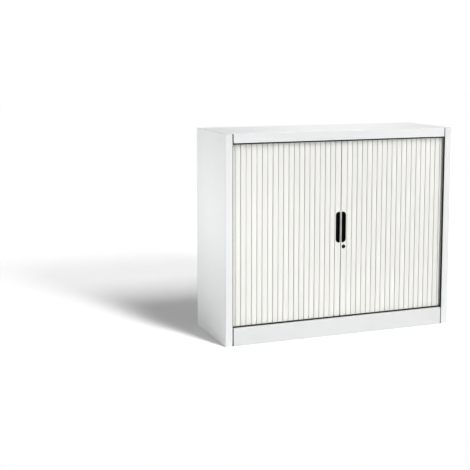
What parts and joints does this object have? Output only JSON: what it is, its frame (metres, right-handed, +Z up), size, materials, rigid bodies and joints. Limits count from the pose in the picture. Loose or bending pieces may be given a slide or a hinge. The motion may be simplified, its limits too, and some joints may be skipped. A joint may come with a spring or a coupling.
{
  "type": "tambour door cabinet",
  "caption": "Low steel cabinet closed by two sideways sliding slatted curtains with recessed grips, a hook lock, a plinth, adjustable shelves and levelling feet.",
  "frame": {"origin": "on the floor, under the middle of the cabinet", "axes": "+X to the right seen from the front, +Y from the front to the back, +Z up"},
  "size_m": [1.2, 0.42, 1],
  "materials": {
    "white_steel": "fine powder coat, satin, traffic white",
    "white_slat": "satin extruded plastic, warm white",
    "black_plastic": "matt black plastic",
    "black_metal": "black lacquered zinc die casting",
    "galvanised_steel": "bright zinc plated steel"
  },
  "bodies": {
    "carcass": {"left_side_wall": "white_steel", "right_side_wall": "white_steel", "back_panel": "white_steel", "top_panel": "white_steel", "ceiling_panel": "white_steel", "floor_panel": "white_steel", "plinth_front": "white_steel", "left_inner_wall": "white_steel", "right_inner_wall": "white_steel", "left_post_strip": "black_plastic", "right_post_strip": "black_plastic", "lower_left_track": "black_plastic", "lower_right_track": "black_plastic", "upper_left_track": "black_plastic", "upper_right_track": "black_plastic", "lower_shelf": "white_steel", "upper_shelf": "white_steel", "lower_shelf_rail_left": "galvanised_steel", "lower_shelf_rail_right": "galvanised_steel", "upper_shelf_rail_left": "galvanised_steel", "upper_shelf_rail_right": "galvanised_steel"},
    "left_door": {"left_stile": "white_slat", "left_grip": "black_plastic", "left_stile_lower_cap": "white_slat", "left_stile_upper_cap": "white_slat", "left_slat_pair_01": "white_slat", "strike_plate": "galvanised_steel"},
    "left_panel_02": {"left_slat_pair_02": "white_slat"},
    "left_panel_03": {"left_slat_pair_03": "white_slat"},
    "left_panel_04": {"left_slat_pair_04": "white_slat"},
    "left_panel_05": {"left_slat_pair_05": "white_slat"},
    "left_panel_06": {"left_slat_pair_06": "white_slat"},
    "left_panel_07": {"left_slat_pair_07": "white_slat"},
    "left_panel_08": {"left_slat_pair_08": "white_slat"},
    "left_panel_09": {"left_slat_pair_09": "white_slat"},
    "left_panel_10": {"left_slat_pair_10": "white_slat"},
    "right_door": {"right_stile": "white_slat", "right_grip": "black_plastic", "right_stile_lower_cap": "white_slat", "right_stile_upper_cap": "white_slat", "right_slat_pair_01": "white_slat", "lock_housing": "black_metal", "lock_nut": "galvanised_steel"},
    "right_panel_02": {"right_slat_pair_02": "white_slat"},
    "right_panel_03": {"right_slat_pair_03": "white_slat"},
    "right_panel_04": {"right_slat_pair_04": "white_slat"},
    "right_panel_05": {"right_slat_pair_05": "white_slat"},
    "right_panel_06": {"right_slat_pair_06": "white_slat"},
    "right_panel_07": {"right_slat_pair_07": "white_slat"},
    "right_panel_08": {"right_slat_pair_08": "white_slat"},
    "right_panel_09": {"right_slat_pair_09": "white_slat"},
    "right_panel_10": {"right_slat_pair_10": "white_slat"},
    "lock": {"lock_plug": "black_metal", "lock_cam": "galvanised_steel", "lock_cam_nut": "galvanised_steel"},
    "foot_front_left": {"levelling_foot_front_left": "galvanised_steel"},
    "foot_front_right": {"levelling_foot_front_right": "galvanised_steel"},
    "foot_back_left": {"levelling_foot_back_left": "galvanised_steel"},
    "foot_back_right": {"levelling_foot_back_right": "galvanised_steel"}
  },
  "joints": [
    {"name": "left_door_slide", "type": "slide", "parent": "carcass", "child": "left_door", "axis": [-1, 0, 0], "range_m": [0, 0.505]},
    {"name": "left_panel_02_travel", "type": "slide", "parent": "carcass", "child": "left_panel_02", "axis": [-0.9999, 0.0142, 0], "range_m": [0, 0.4567], "deforming": ["left_slat_pair_02"]},
    {"name": "left_panel_03_travel", "type": "slide", "parent": "carcass", "child": "left_panel_03", "axis": [-0.9995, 0.0323, 0], "range_m": [0, 0.40256], "deforming": ["left_slat_pair_03"]},
    {"name": "left_panel_04_travel", "type": "slide", "parent": "carcass", "child": "left_panel_04", "axis": [-0.9984, 0.0559, 0], "range_m": [0, 0.3486], "deforming": ["left_slat_pair_04"]},
    {"name": "left_panel_05_travel", "type": "slide", "parent": "carcass", "child": "left_panel_05", "axis": [-0.9961, 0.0882, 0], "range_m": [0, 0.2949], "deforming": ["left_slat_pair_05"]},
    {"name": "left_panel_06_travel", "type": "slide", "parent": "carcass", "child": "left_panel_06", "axis": [-0.9909, 0.1345, 0], "range_m": [0, 0.24165], "deforming": ["left_slat_pair_06"]},
    {"name": "left_panel_07_travel", "type": "slide", "parent": "carcass", "child": "left_panel_07", "axis": [-0.9785, 0.2061, 0], "range_m": [0, 0.18921], "deforming": ["left_slat_pair_07"]},
    {"name": "left_panel_08_travel", "type": "slide", "parent": "carcass", "child": "left_panel_08", "axis": [-0.9445, 0.3284, 0], "range_m": [0, 0.13854], "deforming": ["left_slat_pair_08"]},
    {"name": "left_panel_09_travel", "type": "slide", "parent": "carcass", "child": "left_panel_09", "axis": [-0.8272, 0.5619, 0], "range_m": [0, 0.09254], "deforming": ["left_slat_pair_09"]},
    {"name": "left_panel_10_travel", "type": "slide", "parent": "carcass", "child": "left_panel_10", "axis": [-0.3555, 0.9347, 0], "range_m": [0, 0.06259], "deforming": ["left_slat_pair_10"]},
    {"name": "right_door_slide", "type": "slide", "parent": "carcass", "child": "right_door", "axis": [1, 0, 0], "range_m": [0, 0.505]},
    {"name": "right_panel_02_travel", "type": "slide", "parent": "carcass", "child": "right_panel_02", "axis": [0.9999, 0.0142, 0], "range_m": [0, 0.4567], "deforming": ["right_slat_pair_02"]},
    {"name": "right_panel_03_travel", "type": "slide", "parent": "carcass", "child": "right_panel_03", "axis": [0.9995, 0.0323, 0], "range_m": [0, 0.40256], "deforming": ["right_slat_pair_03"]},
    {"name": "right_panel_04_travel", "type": "slide", "parent": "carcass", "child": "right_panel_04", "axis": [0.9984, 0.0559, 0], "range_m": [0, 0.3486], "deforming": ["right_slat_pair_04"]},
    {"name": "right_panel_05_travel", "type": "slide", "parent": "carcass", "child": "right_panel_05", "axis": [0.9961, 0.0882, 0], "range_m": [0, 0.2949], "deforming": ["right_slat_pair_05"]},
    {"name": "right_panel_06_travel", "type": "slide", "parent": "carcass", "child": "right_panel_06", "axis": [0.9909, 0.1345, 0], "range_m": [0, 0.24165], "deforming": ["right_slat_pair_06"]},
    {"name": "right_panel_07_travel", "type": "slide", "parent": "carcass", "child": "right_panel_07", "axis": [0.9785, 0.2061, 0], "range_m": [0, 0.18921], "deforming": ["right_slat_pair_07"]},
    {"name": "right_panel_08_travel", "type": "slide", "parent": "carcass", "child": "right_panel_08", "axis": [0.9445, 0.3284, 0], "range_m": [0, 0.13854], "deforming": ["right_slat_pair_08"]},
    {"name": "right_panel_09_travel", "type": "slide", "parent": "carcass", "child": "right_panel_09", "axis": [0.8272, 0.5619, 0], "range_m": [0, 0.09254], "deforming": ["right_slat_pair_09"]},
    {"name": "right_panel_10_travel", "type": "slide", "parent": "carcass", "child": "right_panel_10", "axis": [0.3555, 0.9347, 0], "range_m": [0, 0.06259], "deforming": ["right_slat_pair_10"]},
    {"name": "lock_turn", "type": "hinge", "parent": "right_door", "child": "lock", "pos_m": [0.01575, -0.18, 0.434], "axis": [0, -1, 0], "range_deg": [0, 90]},
    {"name": "foot_front_left_height", "type": "slide", "parent": "carcass", "child": "foot_front_left", "axis": [0, 0, -1], "range_m": [0, 0.015]},
    {"name": "foot_front_right_height", "type": "slide", "parent": "carcass", "child": "foot_front_right", "axis": [0, 0, -1], "range_m": [0, 0.015]},
    {"name": "foot_back_left_height", "type": "slide", "parent": "carcass", "child": "foot_back_left", "axis": [0, 0, -1], "range_m": [0, 0.015]},
    {"name": "foot_back_right_height", "type": "slide", "parent": "carcass", "child": "foot_back_right", "axis": [0, 0, -1], "range_m": [0, 0.015]}
  ],
  "couplings": [
    {"joint": "left_panel_02_travel", "follows": "left_door_slide", "ratio": 0.90435},
    {"joint": "left_panel_03_travel", "follows": "left_door_slide", "ratio": 0.79715},
    {"joint": "left_panel_04_travel", "follows": "left_door_slide", "ratio": 0.69029},
    {"joint": "left_panel_05_travel", "follows": "left_door_slide", "ratio": 0.58396},
    {"joint": "left_panel_06_travel", "follows": "left_door_slide", "ratio": 0.47851},
    {"joint": "left_panel_07_travel", "follows": "left_door_slide", "ratio": 0.37468},
    {"joint": "left_panel_08_travel", "follows": "left_door_slide", "ratio": 0.27433},
    {"joint": "left_panel_09_travel", "follows": "left_door_slide", "ratio": 0.18325},
    {"joint": "left_panel_10_travel", "follows": "left_door_slide", "ratio": 0.12394},
    {"joint": "right_panel_02_travel", "follows": "right_door_slide", "ratio": 0.90435},
    {"joint": "right_panel_03_travel", "follows": "right_door_slide", "ratio": 0.79715},
    {"joint": "right_panel_04_travel", "follows": "right_door_slide", "ratio": 0.69029},
    {"joint": "right_panel_05_travel", "follows": "right_door_slide", "ratio": 0.58396},
    {"joint": "right_panel_06_travel", "follows": "right_door_slide", "ratio": 0.47851},
    {"joint": "right_panel_07_travel", "follows": "right_door_slide", "ratio": 0.37468},
    {"joint": "right_panel_08_travel", "follows": "right_door_slide", "ratio": 0.27433},
    {"joint": "right_panel_09_travel", "follows": "right_door_slide", "ratio": 0.18325},
    {"joint": "right_panel_10_travel", "follows": "right_door_slide", "ratio": 0.12394}
  ]
}
